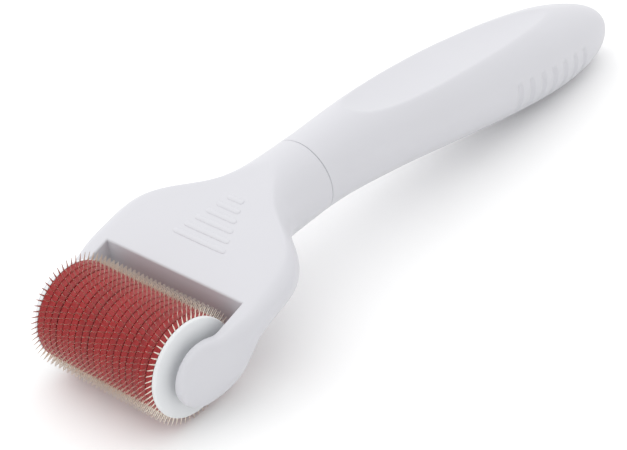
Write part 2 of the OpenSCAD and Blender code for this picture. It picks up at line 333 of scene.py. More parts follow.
def tidy_mesh(mesh, merge=2e-6):
    """Merges doubles and turns the faces outwards."""
    work = bmesh.new()
    work.from_mesh(mesh)
    bmesh.ops.remove_doubles(work, verts=work.verts, dist=merge)
    bmesh.ops.dissolve_degenerate(work, edges=work.edges, dist=merge / 4)
    bmesh.ops.recalc_face_normals(work, faces=work.faces)
    work.to_mesh(mesh)
    work.free()
    mesh.update()


def bake(piece):
    """Turns an object's modifiers into its plain mesh and removes them."""
    depsgraph = bpy.context.evaluated_depsgraph_get()
    depsgraph.update()
    mesh = bpy.data.meshes.new_from_object(piece.evaluated_get(depsgraph))
    piece.modifiers.clear()
    old = piece.data
    piece.data = mesh
    bpy.data.meshes.remove(old)
    mesh.name = piece.name
    return piece


# ---- The head's outline, from the drum's axis ----------------------------------------------


class HeadShape:
    """The fork head as heights over and under a plan outline."""

    def __init__(self, sizes):
        self.s = sizes
        lowest = sizes.deck_rise - sizes.web
        neck_low = sizes.neck_rise - sizes.neck_radius
        boss, back, shoulder = sizes.boss_radius, sizes.slot_back, sizes.shoulder
        self.seam = MOUTH_Y - 0.1 * MM
        self.under = [
            (0, -boss), (back * 0.3, -boss * 0.95), (back * 0.6, -boss * 0.72),
            (back * 0.8, -boss * 0.33), (back, lowest),
            (back + 8 * MM, lowest + 2.2 * MM), (shoulder - 3 * MM, lowest + 2.2 * MM),
            (shoulder + 12 * MM, neck_low), (self.seam, neck_low),
        ]

    def slab(self, y):
        """1 on the wide slab behind the drum, 0 on the round neck."""
        return 1 / (1 + np.exp((y - self.s.shoulder) / self.s.shoulder_spread))

    def half_width(self, y):
        narrow = np.where(y < 0, self.s.tip_round * (1 - root(1 - (y / self.s.boss_radius) ** 2)), 0)
        taper = self.s.taper * (1 - ease((y + 2 * MM) / self.s.slot_back))
        return mix(self.s.neck_radius, self.s.half_width, self.slab(y)) - taper - narrow

    def boss(self, y):
        return root(self.s.boss_radius**2 - y * y)

    def deck(self, y):
        return self.s.deck_rise + math.tan(self.s.deck_slope) * (y - self.s.slot_back)

    def arm_top(self, y):
        """Height of the flat deck, and of the boss in front of it."""
        boss = self.boss(y) / MM
        deck = np.maximum(self.deck(y) * ease(y / (2 * MM)), 0) / MM
        return np.where(y <= 0, boss, (boss**8 + deck**8) ** (1 / 8)) * MM

    def full_top(self, y):
        """Height of the rounded flanks, had the deck not been cut flat."""
        arms = self.arm_top(y) + self.s.deck_lip * ease(y / self.s.slot_back)
        return mix(self.s.neck_rise + self.s.neck_radius, arms, self.slab(y))

    def bottom(self, y):
        return np.where(y < 0, -self.boss(y), curve(self.under, y))

    def waist(self, y):
        """Height of the widest line."""
        arms = mix(self.bottom(y), self.arm_top(y), mix(0.5, 0.66, ease(y / self.s.slot_back)))
        return mix(self.s.neck_rise, arms, self.slab(y))

    def split(self, y):
        """Where the slot's wall is, carried on along the deck and the neck."""
        back = self.s.slot_back
        return self.s.slot_half * np.where(y > back, self.half_width(y) / self.half_width(back), 1)

    def heights(self, x, y):
        """Top and bottom of the head over a point of its plan."""
        s, a, waist = self.slab(y), self.half_width(y), self.waist(y)
        top, full, low = self.arm_top(y), self.full_top(y), self.bottom(y)
        soft = ease((y + 2 * MM) / (self.s.slot_back + 10 * MM))

        def flank(radius):
            run = mix(a, mix(self.s.tip_edge, radius, soft), s)
            return root(1 - np.clip((x - (a - run)) / run, 0, 1) ** 2)

        round_top = waist + (full - waist) * flank(self.s.edge_radius)
        z_top = soft_min(round_top, np.maximum(top, waist), self.s.crease * ease(y / self.s.slot_back))
        z_top = np.maximum(z_top, waist)
        z_low = waist - (waist - low) * flank(self.s.under_radius)
        gap = np.maximum(np.where(y < self.s.slot_back, x - self.s.slot_half, np.hypot(
            np.maximum(x - self.split(y), 0), y - self.s.slot_back)), 0)
        edge = np.minimum(self.s.slot_edge, 0.45 * (z_top - z_low))
        near = (gap < edge) & (y < self.s.slot_back + self.s.slot_edge)
        drop = np.where(near, dip(gap, np.maximum(edge, 1e-9)), 0)
        return z_top - drop, z_low + drop


def head_mesh(sizes, inner=26, flank=46, tip=26, arm=34, back=130):
    """Points and faces of the fork: full rings behind the slot, and two arms in front of it."""
    shape = HeadShape(sizes)
    edge = quarter(sizes.slot_edge, 5)
    seam = quarter(sizes.seam_edge, 4)
    tip_y = -sizes.boss_radius * np.cos(np.linspace(0, math.pi / 2, tip + 1))
    arm_y = np.linspace(0, sizes.slot_back, arm + 1)[1:]
    rest = np.linspace(sizes.slot_back + sizes.slot_edge, shape.seam - sizes.seam_edge, back + 1)
    stations = np.concatenate(
        [tip_y, arm_y, sizes.slot_back + edge[1:-1], rest, shape.seam - seam[-2::-1]]
    )
    slot_at = len(tip_y) + len(arm_y) - 1
    out = np.sin(np.linspace(0, math.pi / 2, flank + 1)[1:])
    points, rows = [], []
    for y in stations:
        split, a = float(shape.split(y)), float(shape.half_width(y))
        outer = split + edge[-1] + (a - split - edge[-1]) * out
        x = np.concatenate([np.linspace(0, split, inner + 1)[:-1], split + edge, outer])
        top, low = shape.heights(x, np.full_like(x, y))
        into = dip(shape.seam - y, sizes.seam_edge) / sizes.neck_radius
        top, low = (mix(z, sizes.neck_rise, into) for z in (top, low))
        x = x * (1 - into)
        half = [(u, y, v) for u, v in zip(x, top)] + [(u, y, v) for u, v in zip(x[-2::-1], low[-2::-1])]
        ring = half + [(-u, v, w) for u, v, w in half[-2:0:-1]]
        rows.append(range(len(points), len(points) + len(ring)))
        points.extend(ring)
    count, size = len(half), len(ring)
    faces = []
    for i in range(len(stations) - 1):
        a, b = rows[i], rows[i + 1]
        if i >= slot_at:
            faces += [(a[j], a[(j + 1) % size], b[(j + 1) % size], b[j]) for j in range(size)]
            continue
        for first, last in ((inner, count - 1 - inner), (size - (count - 1 - inner), size - inner)):
            faces += [(a[j], a[j + 1], b[j + 1], b[j]) for j in range(first, last)]
            faces.append((a[last], a[first], b[first], b[last]))
    wall = rows[slot_at]
    right = [(wall[j], wall[j + 1], wall[count - 2 - j], wall[count - 1 - j]) for j in range(inner)]
    mirror = [wall[-j % size] for j in range(inner + 1)], [wall[count - 1 + j] for j in range(inner + 1)]
    left = [(mirror[0][j], mirror[0][j + 1], mirror[1][j + 1], mirror[1][j]) for j in range(inner)]
    faces += right + left + [tuple(rows[-1])]
    return points, faces


def tube_mesh(sizes, start, end, centre_z, steps=6):
    """A closed-end rectangular tube: the hollow plug, open at its far end."""
    def ring(half_w, half_h, edge, y):
        corners = []
        for quadrant in range(4):
            sx, sz = ((1, 1), (-1, 1), (-1, -1), (1, -1))[quadrant]
            for k in range(steps + 1):
                turn = math.radians(90 * (quadrant + k / steps))
                corners.append((
                    sx * (half_w - edge) + edge * math.cos(turn), y,
                    centre_z + sz * (half_h - edge) + edge * math.sin(turn),
                ))
        return corners

    w, h, wall, edge = sizes.width / 2, sizes.height / 2, sizes.wall, sizes.edge
    lip = edge / 2
    rings = [
        ring(w, h, edge, start), ring(w, h, edge, end - lip), ring(w - lip, h - lip, edge, end),
        ring(w - wall, h - wall, edge / 2, end), ring(w - wall, h - wall, edge / 2, start + wall),
    ]
    return skin(rings)


def skin(rings, close=True):
    """Points and faces between closed rings, with flat ends if close is true."""
    size = len(rings[0])
    points = [p for ring in rings for p in ring]
    faces = [
        (i * size + j, i * size + (j + 1) % size, (i + 1) * size + (j + 1) % size, (i + 1) * size + j)
        for i in range(len(rings) - 1)
        for j in range(size)
    ]
    if close:
        faces += [tuple(range(size)), tuple(range((len(rings) - 1) * size, len(rings) * size))]
    return points, faces


def lathe(profile, steps=160):
    """A closed solid turned about the drum's axis, from (radius, x) points."""
    turns = [2 * math.pi * k / steps for k in range(steps)]
    rings = [[(x, r * math.cos(t), r * math.sin(t)) for t in turns] for r, x in profile]
    return skin(rings + rings[:1], close=False)


def joined(*parts):
    """Several closed shapes as one list of points and faces."""
    points, faces = [], []
    for more, loops in parts:
        faces += [tuple(i + len(points) for i in loop) for loop in loops]
        points += list(more)
    return points, faces


# ---- The handle's outline, from the drum's axis ---------------------------------------------


class HandleShape:
    """The handle's round sections along a bent centre line, with a dished facet on top."""

    def __init__(self, sizes, grooves, neck_radius, neck_rise):
        self.s, self.g = sizes, grooves
        self.neck_radius, self.neck_rise = neck_radius, neck_rise
        self.seam = MOUTH_Y - 0.1 * MM

    def swell(self, y):
        share = (y - self.seam) / (self.s.belly_at - self.seam)
        return curve([(0, 0), (0.12, 0.06), (0.4, 0.46), (0.7, 0.82), (1, 1)], share)

    def taper(self, y):
        past = np.clip((y - self.s.belly_at) / (TAIL_Y - self.s.belly_at), 0, 1)
        return root(1 - past**2.8)

    def radius(self, y, belly):
        return mix(self.neck_radius, belly / 2, self.swell(y)) * self.taper(y)

    def centre(self, y):
        share = (y - self.seam) / (TAIL_Y - self.seam)
        bend = [(0, 0), (0.2, 0.075), (0.4, 0.275), (0.6, 0.54), (0.8, 0.8), (1, 0.99)]
        return self.neck_rise - self.s.tail_drop * curve(bend, share)

    def leaf(self, y):
        """Half width of the thumb facet."""
        share = np.clip((y - self.s.leaf_from) / (self.s.leaf_to - self.s.leaf_from), 0, 1) ** 0.7
        return np.maximum(self.s.leaf_half * root(4 * share * (1 - share)), 0.2 * MM)

    def groove(self, y, z):
        """How deep the grip grooves are at a place on the flank."""
        g = self.g
        middles = g.start + g.pitch * np.arange(g.count)
        along = np.abs(y[..., None] - middles).min(-1)
        beyond = np.maximum(z - g.above, 0) + np.maximum(-g.below - z, 0)
        share = np.clip(np.hypot(along, beyond) / g.half_width, 0, 1)
        return g.depth * (1 - share**2) ** 1.5

    def section(self, y, turns, inset, side):
        """One shell's arc of points at a station, from +X over to -X."""
        wide, high = self.radius(y, self.s.belly_width), self.radius(y, self.s.belly_height)
        a, b = max(wide - inset, 0), max(high - inset, 0)
        x, z = a * np.cos(turns), b * np.sin(turns)
        if side > 0 and wide > 0:
            leaf = min(float(self.leaf(y)), 0.9 * wide)
            share = leaf / self.s.leaf_half
            flat = high * root(1 - (leaf / wide) ** 2) - inset
            hollow = self.s.leaf_dish * share * (1 - (x / leaf) ** 2) if inset == 0 else 0
            z = np.maximum(soft_min(z, flat - hollow, self.s.leaf_edge * share), 0)
        if inset == 0:
            x = x - np.sign(x) * self.groove(np.full_like(z, y), side * z)
        into = dip(y - MOUTH_Y, 0.22 * MM) / self.neck_radius if inset == 0 else 0
        return np.stack([x * (1 - into), np.full_like(x, y), self.centre(y) + side * z * (1 - into)], -1)


def shell_mesh(shape, side, turns=72, fine=0.27 * MM, coarse=1.1 * MM):
    """One half shell: outer skin, inner skin and the flat rims between them."""
    s, g = shape.s, shape.g
    grooved = g.start - 2 * MM, g.start + g.pitch * (g.count - 1) + 2 * MM
    edge = MOUTH_Y + quarter(0.22 * MM, 3)
    plain = np.arange(edge[-1] + coarse / 2, grooved[0], coarse)
    ridged = np.arange(grooved[0], grooved[1], fine)
    tail = grooved[1] + (TAIL_Y - grooved[1]) * np.sin(np.linspace(0, math.pi / 2, 36))
    stations = np.concatenate([edge, plain, ridged, tail])
    angles = np.linspace(0, math.pi, turns + 1)
    shrink = (TAIL_Y - 2 * s.wall - MOUTH_Y) / (TAIL_Y - MOUTH_Y)
    outer = [shape.section(y, angles, 0, side) for y in stations]
    inner = [
        shape.section(MOUTH_Y + (y - MOUTH_Y) * shrink, angles, s.wall, side) for y in stations
    ]
    rings = [np.concatenate([o, i[::-1]]) for o, i in zip(outer, inner)]
    points, faces = skin(rings, close=False)
    last, size = (len(stations) - 1) * len(rings[0]), len(rings[0])
    half = turns + 1
    faces += [(j, j + 1, size - 2 - j, size - 1 - j) for j in range(turns)]
    faces += [(last + j, last + j + 1, last + size - 2 - j, last + size - 1 - j) for j in range(half - 1)]
    return points, faces


# ---- Node trees ----------------------------------------------------------------------------


def add(tree, kind, settings=None, inputs=None):
    """Adds a node with its settings, and fills its inputs with values or links."""
    node = tree.nodes.new(kind)
    for name, value in (settings or {}).items():
        setattr(node, name, value)
    for key, value in (inputs or {}).items():
        if isinstance(value, bpy.types.NodeSocket):
            tree.links.new(value, node.inputs[key])
        else:
            node.inputs[key].default_value = value
    return node


def maths(tree, operation, first, second=0.0):
    """The result of a maths node on one or two values."""
    values = {0: first, 1: second}
    return add(tree, "ShaderNodeMath", {"operation": operation}, values).outputs[0]


def shape_tree(name, inputs):
    """A Geometry Nodes tree with named inputs; returns it and its input node."""
    tree = bpy.data.node_groups.new(name, "GeometryNodeTree")
    for label, kind in inputs.items():
        tree.interface.new_socket(label, in_out="INPUT", socket_type="NodeSocket" + kind)
    tree.interface.new_socket("Geometry", in_out="OUTPUT", socket_type="NodeSocketGeometry")
    return tree, add(tree, "NodeGroupInput")


def close_tree(tree, geometry, place, material):
    """Ends a tree: puts the shape in place, makes it real and gives it its material."""
    moved = add(tree, "GeometryNodeTransform", None, {"Geometry": geometry, "Translation": place})
    real = add(tree, "GeometryNodeRealizeInstances", None, {"Geometry": moved.outputs[0]})
    done = add(
        tree, "GeometryNodeSetMaterial", None, {"Geometry": real.outputs[0], "Material": material}
    )
    add(tree, "NodeGroupOutput", None, {0: done.outputs[0]})


def grow(name, tree, values, sharp=math.radians(32)):
    """Runs a tree once with its inputs set by identifier, and keeps the result as a plain mesh."""
    piece = bpy.data.objects.new(name, bpy.data.meshes.new(name))
    bpy.context.scene.collection.objects.link(piece)
    modifier = piece.modifiers.new(tree.name, "NODES")
    modifier.node_group = tree
    for item in tree.interface.items_tree:
        if item.in_out == "INPUT":
            modifier[item.identifier] = values[item.name]
    bake(piece)
    tidy_mesh(piece.data, merge=1e-7)
    piece.data.shade_smooth()
    piece.data.set_sharp_from_angle(angle=sharp)
    return piece


def row_of_rings(tree, ring, rows, pitch, turn, scale):
    """Instances of a ring in a row along X, turned and scaled one by one about X."""
    half = maths(tree, "SUBTRACT", rows, 1.0)
    start = maths(tree, "MULTIPLY", half, pitch)
    start = maths(tree, "MULTIPLY", start, -0.5)
    first = add(tree, "ShaderNodeCombineXYZ", None, {"X": start})
    step = add(tree, "ShaderNodeCombineXYZ", None, {"X": pitch})
    line = add(tree, "GeometryNodeMeshLine", {"mode": "OFFSET"}, {
        "Count": rows, "Start Location": first.outputs[0], "Offset": step.outputs[0],
    })
    spin = add(tree, "ShaderNodeCombineXYZ", None, {"X": turn})
    size = add(tree, "ShaderNodeCombineXYZ", None, {"X": scale, "Y": 1.0, "Z": 1.0})
    return add(tree, "GeometryNodeInstanceOnPoints", None, {
        "Points": line.outputs[0], "Instance": ring, "Rotation": spin.outputs[0],
        "Scale": size.outputs[0],
    }).outputs[0]


def flat_ring(tree, outer, inner, thickness, edge, around=144):
    """A washer about X with bevelled rims, as one swept section."""
    total = maths(tree, "ADD", outer, inner)
    centre = maths(tree, "MULTIPLY", total, 0.5)
    depth = maths(tree, "SUBTRACT", outer, inner)
    path = add(tree, "GeometryNodeCurvePrimitiveCircle", None, {"Resolution": around, "Radius": centre})
    section = add(tree, "GeometryNodeCurvePrimitiveQuadrilateral", None, {
        "Width": depth, "Height": thickness,
    })
    soft = add(tree, "GeometryNodeFilletCurve", {"mode": "POLY"}, {
        "Curve": section.outputs[0], "Count": 1, "Radius": edge,
    })
    swept = add(tree, "GeometryNodeCurveToMesh", None, {
        "Curve": path.outputs[0], "Profile Curve": soft.outputs[0],
    })
    return add(tree, "GeometryNodeTransform", None, {
        "Geometry": swept.outputs[0], "Rotation": (0, math.pi / 2, 0),
    }).outputs[0]


def disc_tree():
    """Red discs in a row, each a little thinner or thicker, so the seams are uneven."""
    tree, given = shape_tree("spacer_row", {
        "Rows": "Int", "Pitch": "Float", "Outer": "Float", "Inner": "Float", "Thickness": "Float",
        "Edge": "Float", "Thinnest": "Float", "Thickest": "Float", "Seed": "Int",
        "Axle": "Vector", "Material": "Material",
    })
    g = given.outputs
    ring = flat_ring(tree, g["Outer"], g["Inner"], g["Thickness"], g["Edge"])
    uneven = add(tree, "FunctionNodeRandomValue", {"data_type": "FLOAT"}, {
        2: g["Thinnest"], 3: g["Thickest"], "Seed": g["Seed"],
    })
    row = row_of_rings(tree, ring, g["Rows"], g["Pitch"], 0.0, uneven.outputs[1])
    close_tree(tree, row, g["Axle"], g["Material"])
    return tree


def plate_tree():
    """Steel plates in a row, each with a crown of tapered needles, every other one turned."""
    tree, given = shape_tree("needle_rows", {
        "Rows": "Int", "Pitch": "Float", "Needles": "Int", "Root": "Float", "Inner": "Float",
        "Thickness": "Float", "Length": "Float", "Width": "Float", "Tip": "Float",
        "Axle": "Vector", "Material": "Material",
    })
    g = given.outputs
    plate = flat_ring(tree, g["Root"], g["Inner"], g["Thickness"], 0.02 * MM)
    half = maths(tree, "MULTIPLY", g["Width"], 0.5)
    spike = add(tree, "GeometryNodeMeshCone", None, {
        "Vertices": 8, "Radius Top": g["Tip"], "Radius Bottom": half, "Depth": g["Length"],
    })
    thin = maths(tree, "DIVIDE", g["Thickness"], g["Width"])
    flat = add(tree, "ShaderNodeCombineXYZ", None, {"X": thin, "Y": 1.0, "Z": 1.0})
    out = add(tree, "ShaderNodeCombineXYZ", None, {"Z": g["Root"]})
    blade = add(tree, "GeometryNodeTransform", None, {
        "Geometry": spike.outputs[0], "Translation": out.outputs[0], "Scale": flat.outputs[0],
    })
    step = maths(tree, "DIVIDE", math.tau, g["Needles"])
    index = add(tree, "GeometryNodeInputIndex")
    turn = maths(tree, "MULTIPLY", index.outputs[0], step)
    spin = add(tree, "ShaderNodeCombineXYZ", None, {"X": turn})
    spots = add(tree, "GeometryNodeMeshLine", {"mode": "OFFSET"}, {
        "Count": g["Needles"], "Offset": (0, 0, 0),
    })
    crown = add(tree, "GeometryNodeInstanceOnPoints", None, {
        "Points": spots.outputs[0], "Instance": blade.outputs[0], "Rotation": spin.outputs[0],
    })
    ring = add(tree, "GeometryNodeJoinGeometry", None, {0: crown.outputs[0]})
    tree.links.new(plate, ring.inputs[0])
    odd = maths(tree, "MODULO", index.outputs[0], 2.0)
    stagger = maths(tree, "MULTIPLY", odd, step)
    stagger = maths(tree, "MULTIPLY", stagger, 0.5)
    whole = add(tree, "GeometryNodeGeometryToInstance", None, {0: ring.outputs[0]})
    row = row_of_rings(tree, whole.outputs[0], g["Rows"], g["Pitch"], stagger, 1.0)
    close_tree(tree, row, g["Axle"], g["Material"])
    return tree


def bar_tree():
    """Raised bars with round ends, each a step shorter than the one before."""
    tree, given = shape_tree("deck_bars", {
        "Rows": "Int", "Step": "Vector", "Start": "Vector", "Slope": "Float", "Longest": "Float",
        "Shortest": "Float", "Width": "Float", "Height": "Float", "Axle": "Vector",
        "Material": "Material",
    })
    g = given.outputs
    line = add(tree, "GeometryNodeMeshLine", {"mode": "OFFSET"}, {
        "Count": g["Rows"], "Start Location": g["Start"], "Offset": g["Step"],
    })
    index = add(tree, "GeometryNodeInputIndex")
    gaps = maths(tree, "SUBTRACT", g["Rows"], 1.0)
    share = maths(tree, "DIVIDE", index.outputs[0], gaps)
    long = add(tree, "ShaderNodeMapRange", None, {
        "Value": share, "To Min": g["Longest"], "To Max": g["Shortest"],
    })
    across = add(tree, "GeometryNodeCurvePrimitiveLine", None, {
        "Start": (-0.5, 0, 0), "End": (0.5, 0, 0),
    })
    across = add(tree, "GeometryNodeResampleCurve", None, {"Curve": across.outputs[0], "Count": 49})
    place = add(tree, "GeometryNodeInputPosition")
    apart = add(tree, "ShaderNodeSeparateXYZ", None, {0: place.outputs[0]})
    twice = maths(tree, "MULTIPLY", apart.outputs["X"], 2.0)
    reach = maths(tree, "ABSOLUTE", twice)
    edge = maths(tree, "POWER", reach, 14.0)
    left = maths(tree, "SUBTRACT", 1.0001, edge)
    thick = maths(tree, "SQRT", left)
    shaped = add(tree, "GeometryNodeSetCurveRadius", None, {
        "Curve": across.outputs[0], "Radius": thick,
    })
    circle = add(tree, "GeometryNodeCurvePrimitiveCircle", None, {"Resolution": 20, "Radius": 0.5})
    tall = maths(tree, "MULTIPLY", g["Height"], 2.0)
    oval = add(tree, "ShaderNodeCombineXYZ", None, {"X": g["Width"], "Y": tall, "Z": 1.0})
    section = add(tree, "GeometryNodeTransform", None, {
        "Geometry": circle.outputs[0], "Scale": oval.outputs[0],
    })
    bar = add(tree, "GeometryNodeCurveToMesh", None, {
        "Curve": shaped.outputs[0], "Profile Curve": section.outputs[0], "Fill Caps": True,
        "Scale": thick,
    })
    tilt = add(tree, "ShaderNodeCombineXYZ", None, {"X": g["Slope"]})
    size = add(tree, "ShaderNodeCombineXYZ", None, {"X": long.outputs[0], "Y": 1.0, "Z": 1.0})
    bars = add(tree, "GeometryNodeInstanceOnPoints", None, {
        "Points": line.outputs[0], "Instance": bar.outputs[0], "Rotation": tilt.outputs[0],
        "Scale": size.outputs[0],
    })
    close_tree(tree, bars.outputs[0], g["Axle"], g["Material"])
    return tree


# ---- Materials -----------------------------------------------------------------------------


def per_metre(size_mm):
    """Noise scale whose pattern is about this many millimetres across."""
    return 1 / (size_mm * MM)


def blank_material(name):
    """A new material with an empty tree; returns it, its tree and its object coordinates."""
    material = bpy.data.materials.new(name)
    material.use_nodes = True
    tree = material.node_tree
    tree.nodes.clear()
    return material, tree, add(tree, "ShaderNodeTexCoord").outputs["Object"]


def plastic(name, colour, roughness, grain_mm=0.5, grain_depth=0.01, drift=0.03):
    """Moulded plastic: an even colour with slow drift, and a fine spark-eroded mould grain."""
    material, tree, place = blank_material(name)
    slow = add(tree, "ShaderNodeTexNoise", None, {
        "Vector": place, "Scale": per_metre(22), "Detail": 2.0, "Roughness": 0.5,
    })
    tone = add(tree, "ShaderNodeMix", {"data_type": "RGBA"}, {
        0: slow.outputs[0], 6: (*[c * (1 - drift) for c in colour], 1), 7: (*colour, 1),
    })
    smear = add(tree, "ShaderNodeTexNoise", None, {
        "Vector": place, "Scale": per_metre(9), "Detail": 4.0, "Roughness": 0.6,
    })
    polish = add(tree, "ShaderNodeMapRange", None, {
        "Value": smear.outputs[0], "To Min": roughness - 0.04, "To Max": roughness + 0.04,
    })
    grain = add(tree, "ShaderNodeTexNoise", None, {
        "Vector": place, "Scale": per_metre(grain_mm), "Detail": 3.0, "Roughness": 0.6,
    })
    bump = add(tree, "ShaderNodeBump", None, {
        "Height": grain.outputs[0], "Strength": 0.35, "Distance": grain_depth * MM,
    })
    shader = add(tree, "ShaderNodeBsdfPrincipled", None, {
        "Base Color": tone.outputs[2], "Roughness": polish.outputs[0], "Normal": bump.outputs[0],
        "IOR": 1.54,
    })
    add(tree, "ShaderNodeOutputMaterial", None, {"Surface": shader.outputs[0]})
    return material


def white_abs(finishes):
    """Satin moulded ABS, cool white: soft wide highlights and a barely visible mould grain."""
    return plastic("white_abs_satin_moulded", finishes.white, 0.42)


def cap_abs(finishes):
    """Smooth moulded ABS, neutral white: a slightly tighter highlight than the head's."""
    return plastic("cap_abs_smooth_moulded", finishes.cap, 0.36, grain_mm=0.8, drift=0.02)


def inner_abs(finishes):
    """Plain moulded ABS inside the roller: matt and a little greyer."""
    return plastic("inner_abs_plain_moulded", finishes.inner, 0.55, grain_mm=1.2, grain_depth=0.02)


def red_abs(finishes):
    """Moulded red ABS discs: satin, each ring a little off its neighbour, with fine mould lines."""
    material, tree, place = blank_material("red_abs_satin_moulded")
    rings = add(tree, "ShaderNodeMapping", None, {
        "Vector": place, "Scale": (1.0, 0.02, 0.02),
    })
    batch = add(tree, "ShaderNodeTexNoise", None, {
        "Vector": rings.outputs[0], "Scale": per_metre(1.7), "Detail": 1.0,
    })
    lines = add(tree, "ShaderNodeTexNoise", None, {
        "Vector": rings.outputs[0], "Scale": per_metre(0.45), "Detail": 2.0,
    })
    red = finishes.red
    tone = add(tree, "ShaderNodeValToRGB", None, {0: batch.outputs[0]})
    tone.color_ramp.elements[0].position = 0.3
    tone.color_ramp.elements[0].color = (red[0] * 0.74, red[1] * 0.7, red[2] * 0.72, 1)
    tone.color_ramp.elements[1].position = 0.68
    tone.color_ramp.elements[1].color = (*red, 1)
    bump = add(tree, "ShaderNodeBump", None, {
        "Height": lines.outputs[0], "Strength": 0.6, "Distance": 0.03 * MM,
    })
    shader = add(tree, "ShaderNodeBsdfPrincipled", None, {
        "Base Color": tone.outputs[0], "Roughness": 0.4, "Normal": bump.outputs[0], "IOR": 1.54,
        "Specular IOR Level": 0.35,
    })
    add(tree, "ShaderNodeOutputMaterial", None, {"Surface": shader.outputs[0]})
    return material


def steel(name, colour, roughness, brush, depth_mm):
    """Stainless steel with marks drawn out along the given directions."""
    material, tree, place = blank_material(name)
    drawn = add(tree, "ShaderNodeMapping", None, {"Vector": place, "Scale": brush})
    marks = add(tree, "ShaderNodeTexNoise", None, {
        "Vector": drawn.outputs[0], "Scale": per_metre(0.3), "Detail": 3.0,
    })
    polish = add(tree, "ShaderNodeMapRange", None, {
        "Value": marks.outputs[0], "To Min": roughness - 0.08, "To Max": roughness + 0.08,
    })
    bump = add(tree, "ShaderNodeBump", None, {
        "Height": marks.outputs[0], "Strength": 0.4, "Distance": depth_mm * MM,
    })
    shader = add(tree, "ShaderNodeBsdfPrincipled", None, {
        "Base Color": (*colour, 1), "Metallic": 1.0, "Roughness": polish.outputs[0],
        "Normal": bump.outputs[0],
    })
    add(tree, "ShaderNodeOutputMaterial", None, {"Surface": shader.outputs[0]})
    return material


def needle_steel(finishes):
    """Etched stainless plate: bright points with a dull, faintly pitted face."""
    return steel("needle_steel_etched", finishes.steel, 0.36, (1.0, 1.0, 1.0), 0.004)


def axle_steel(finishes):
    """Centreless-ground stainless rod: fine marks round its axis."""
    return steel("axle_steel_ground", finishes.axle, 0.26, (1.0, 0.05, 0.05), 0.006)


def studio_paper(finishes):
    """Matt white studio paper: no shine."""
    material, tree, place = blank_material("studio_paper_matt")
    fibre = add(tree, "ShaderNodeTexNoise", None, {
        "Vector": place, "Scale": per_metre(30), "Detail": 2.0,
    })
    tone = add(tree, "ShaderNodeMix", {"data_type": "RGBA"}, {
        0: fibre.outputs[0], 6: (*[c * 0.99 for c in finishes.paper], 1), 7: (*finishes.paper, 1),
    })
    shader = add(tree, "ShaderNodeBsdfDiffuse", None, {"Color": tone.outputs[2]})
    add(tree, "ShaderNodeOutputMaterial", None, {"Surface": shader.outputs[0]})
    return material


def finish(maker):
    """A material made once and shared by the pieces of the same finish."""
    made = bpy.context.scene.get("finish_" + maker.__name__)
    if made is None or made not in bpy.data.materials:
        made = maker(bpy.context.scene.roller_finishes).name
        bpy.context.scene["finish_" + maker.__name__] = made
    return bpy.data.materials[made]


def repaint(node, material):
    """Gives a frame node that stays visible its procedural material."""
    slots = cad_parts[node].data.materials
    slots.clear()
    slots.append(material)


# ---- Operators: one for each piece or group of like pieces ---------------------------------


class ForkHead(bpy.types.Operator):
    """Build the fork head with its plug"""

    bl_idname = "roller.fork_head"
    bl_label = "Fork Head"

    def execute(self, context):
        scene = context.scene
        sizes, plug = scene.roller_head, scene.roller_plug
        parts = joined(
            head_mesh(sizes),
            tube_mesh(plug, MOUTH_Y - 8 * MM, PLUG_END, sizes.neck_rise),
        )
        head = make_object("fork_head", *parts, finish(white_abs))
        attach(head, "head")
        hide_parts("head_fork")
        return {"FINISHED"}


class DeckBars(bpy.types.Operator):
    """Build the raised bars on the head's deck"""

    bl_idname = "roller.deck_bars"
    bl_label = "Deck Bars"

    def execute(self, context):
        head, bars = context.scene.roller_head, context.scene.roller_bars
        slope = math.tan(head.deck_slope)
        first = head.slot_back + bars.start
        sunk = 0.05 * MM
        piece = grow("deck_bars", bar_tree(), {
            "Rows": bars.rows,
            "Step": (0.0, bars.pitch, bars.pitch * slope),
            "Start": (0.0, first, head.deck_rise + slope * (first - head.slot_back) - sunk),
            "Slope": head.deck_slope,
            "Longest": bars.longest,
            "Shortest": bars.shortest,
            "Width": bars.width,
            "Height": bars.height + sunk,
            "Axle": tuple(AXIS),
            "Material": finish(white_abs),
        }, sharp=math.radians(60))
        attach(piece, "head")
        return {"FINISHED"}


class HandleShells(bpy.types.Operator):
    """Build the handle's upper and lower shells"""

    bl_idname = "roller.handle_shells"
    bl_label = "Handle Shells"

    def execute(self, context):
        scene = context.scene
        head = scene.roller_head
        shape = HandleShape(
            scene.roller_handle, scene.roller_grooves, head.neck_radius, head.neck_rise
        )
        for name, side in (("handle_top_shell", 1), ("handle_bottom_shell", -1)):
            shell = make_object(name, *shell_mesh(shape, side), finish(white_abs))
            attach(shell, "handle")
            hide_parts("handle_upper_shell" if side > 0 else "handle_lower_shell")
        repaint("socket_insert", finish(inner_abs))
        return {"FINISHED"}


class NeedlePlates(bpy.types.Operator):
    """Build the steel plates and their needles"""

    bl_idname = "roller.needle_plates"
    bl_label = "Needle Plates"

    def execute(self, context):
        drum = context.scene.roller_drum
        inside = DISC_R - drum.root_depth
        piece = grow("needle_plates", plate_tree(), {
            "Rows": len(PLATES),
            "Pitch": PLATE_T + SPACER_T,
            "Needles": drum.needles,
            "Root": inside,
            "Inner": drum.core_radius,
            "Thickness": PLATE_T,
            "Length": TIP_R - inside,
            "Width": drum.needle_root,
            "Tip": drum.needle_tip,
            "Axle": tuple(AXIS),
            "Material": finish(needle_steel),
        })
        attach(piece, "drum")
        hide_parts(*PLATES)
        return {"FINISHED"}


